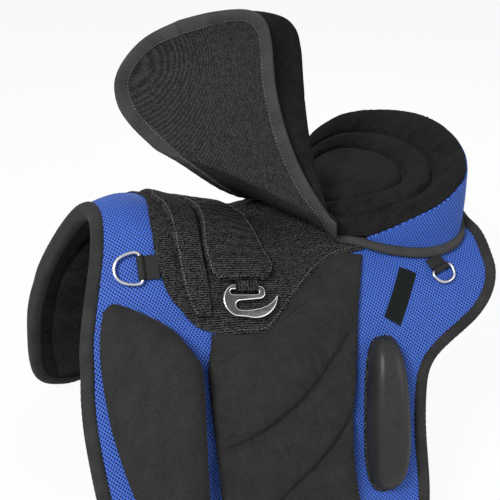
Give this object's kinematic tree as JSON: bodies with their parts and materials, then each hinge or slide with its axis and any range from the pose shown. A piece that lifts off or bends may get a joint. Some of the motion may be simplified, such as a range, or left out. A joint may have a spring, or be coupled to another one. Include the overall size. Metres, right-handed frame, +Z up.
{
  "type": "trail saddle",
  "caption": "Treeless trail saddle: padded flaps in blue mesh and black suede, bound edges, seat whose front lifts, stirrup hooks and tack rings.",
  "frame": {"origin": "on the floor, under the middle of the bounding box", "axes": "+X towards the rear of the saddle, -Y the left (near) side, +Z up"},
  "size_m": [0.4848, 0.5084, 0.5508],
  "materials": {
    "mesh_blue": "blue spacer mesh, matt",
    "foam_grey": "closed-cell foam, matt",
    "fleece_black": "black fleece, matt",
    "binding_black": "ribbed knit tape, matt",
    "loop_black": "brushed loop fabric",
    "label_black": "woven label ground, bare",
    "suede_black": "microsuede, matt",
    "webbing_black": "woven webbing, slight sheen",
    "steel_bright": "polished steel"
  },
  "bodies": {
    "saddle": {"mesh_cover": "mesh_blue", "foam_core": "foam_grey", "base_lining": "fleece_black", "edge_binding": "binding_black", "loop_patch": "loop_black", "pommel_band": "loop_black", "stirrup_strap": "loop_black", "label_patch": "label_black", "seat_rear_cushion": "suede_black", "seat_rear_liner": "loop_black", "seat_rear_binding": "binding_black", "seat_fold": "suede_black", "seat_side_band": "mesh_blue", "underside_panel_left": "fleece_black", "underside_panel_right": "fleece_black", "knee_roll_left": "suede_black", "knee_roll_right": "suede_black", "thigh_patch_left": "loop_black", "thigh_patch_right": "loop_black", "thigh_roll_left": "suede_black", "thigh_roll_right": "suede_black", "leg_panel_left": "suede_black", "leg_panel_right": "suede_black", "billet_front_left": "webbing_black", "billet_front_right": "webbing_black", "billet_rear_left": "webbing_black", "billet_rear_right": "webbing_black", "front_ring_tab_left": "webbing_black", "front_ring_tab_right": "webbing_black", "rear_ring_tab_left": "webbing_black", "rear_ring_tab_right": "webbing_black", "hook_keeper_left": "webbing_black", "hook_keeper_right": "webbing_black"},
    "seat_front": {"seat_front_cushion": "suede_black", "seat_front_liner": "loop_black", "seat_front_binding": "binding_black"},
    "front_ring_left_body": {"front_ring_left": "steel_bright"},
    "rear_ring_left_body": {"rear_ring_left": "steel_bright"},
    "stirrup_hook_left_body": {"stirrup_hook_left": "steel_bright"},
    "front_ring_right_body": {"front_ring_right": "steel_bright"},
    "rear_ring_right_body": {"rear_ring_right": "steel_bright"},
    "stirrup_hook_right_body": {"stirrup_hook_right": "steel_bright"}
  },
  "joints": [
    {"name": "seat_front_lift", "type": "hinge", "parent": "saddle", "child": "seat_front", "pos_m": [0.0564, -0.068, 0.333], "axis": [-0.6298, 0.7155, 0.3023], "range_deg": [-94, 0], "deforming": ["seat_fold"]},
    {"name": "front_ring_left_swing", "type": "hinge", "parent": "saddle", "child": "front_ring_left_body", "pos_m": [-0.15936, -0.08096, 0.31758], "axis": [-0.1167, -0.6021, -0.7898], "range_deg": [-160, 0]},
    {"name": "rear_ring_left_swing", "type": "hinge", "parent": "saddle", "child": "rear_ring_left_body", "pos_m": [0.16456, -0.14608, 0.27941], "axis": [0.9542, 0.0294, 0.2978], "range_deg": [-150, 0]},
    {"name": "stirrup_hook_left_swing", "type": "hinge", "parent": "saddle", "child": "stirrup_hook_left_body", "pos_m": [-0.05421, -0.11317, 0.28796], "axis": [0.9812, -0.086, -0.1726], "range_deg": [-85, 0]},
    {"name": "front_ring_right_swing", "type": "hinge", "parent": "saddle", "child": "front_ring_right_body", "pos_m": [-0.15936, 0.08096, 0.31758], "axis": [-0.1167, 0.6021, -0.7898], "range_deg": [0, 160]},
    {"name": "rear_ring_right_swing", "type": "hinge", "parent": "saddle", "child": "rear_ring_right_body", "pos_m": [0.16456, 0.14608, 0.27941], "axis": [0.9542, -0.0294, 0.2978], "range_deg": [0, 150]},
    {"name": "stirrup_hook_right_swing", "type": "hinge", "parent": "saddle", "child": "stirrup_hook_right_body", "pos_m": [-0.05421, 0.11317, 0.28796], "axis": [0.9812, 0.086, -0.1726], "range_deg": [0, 85]}
  ]
}
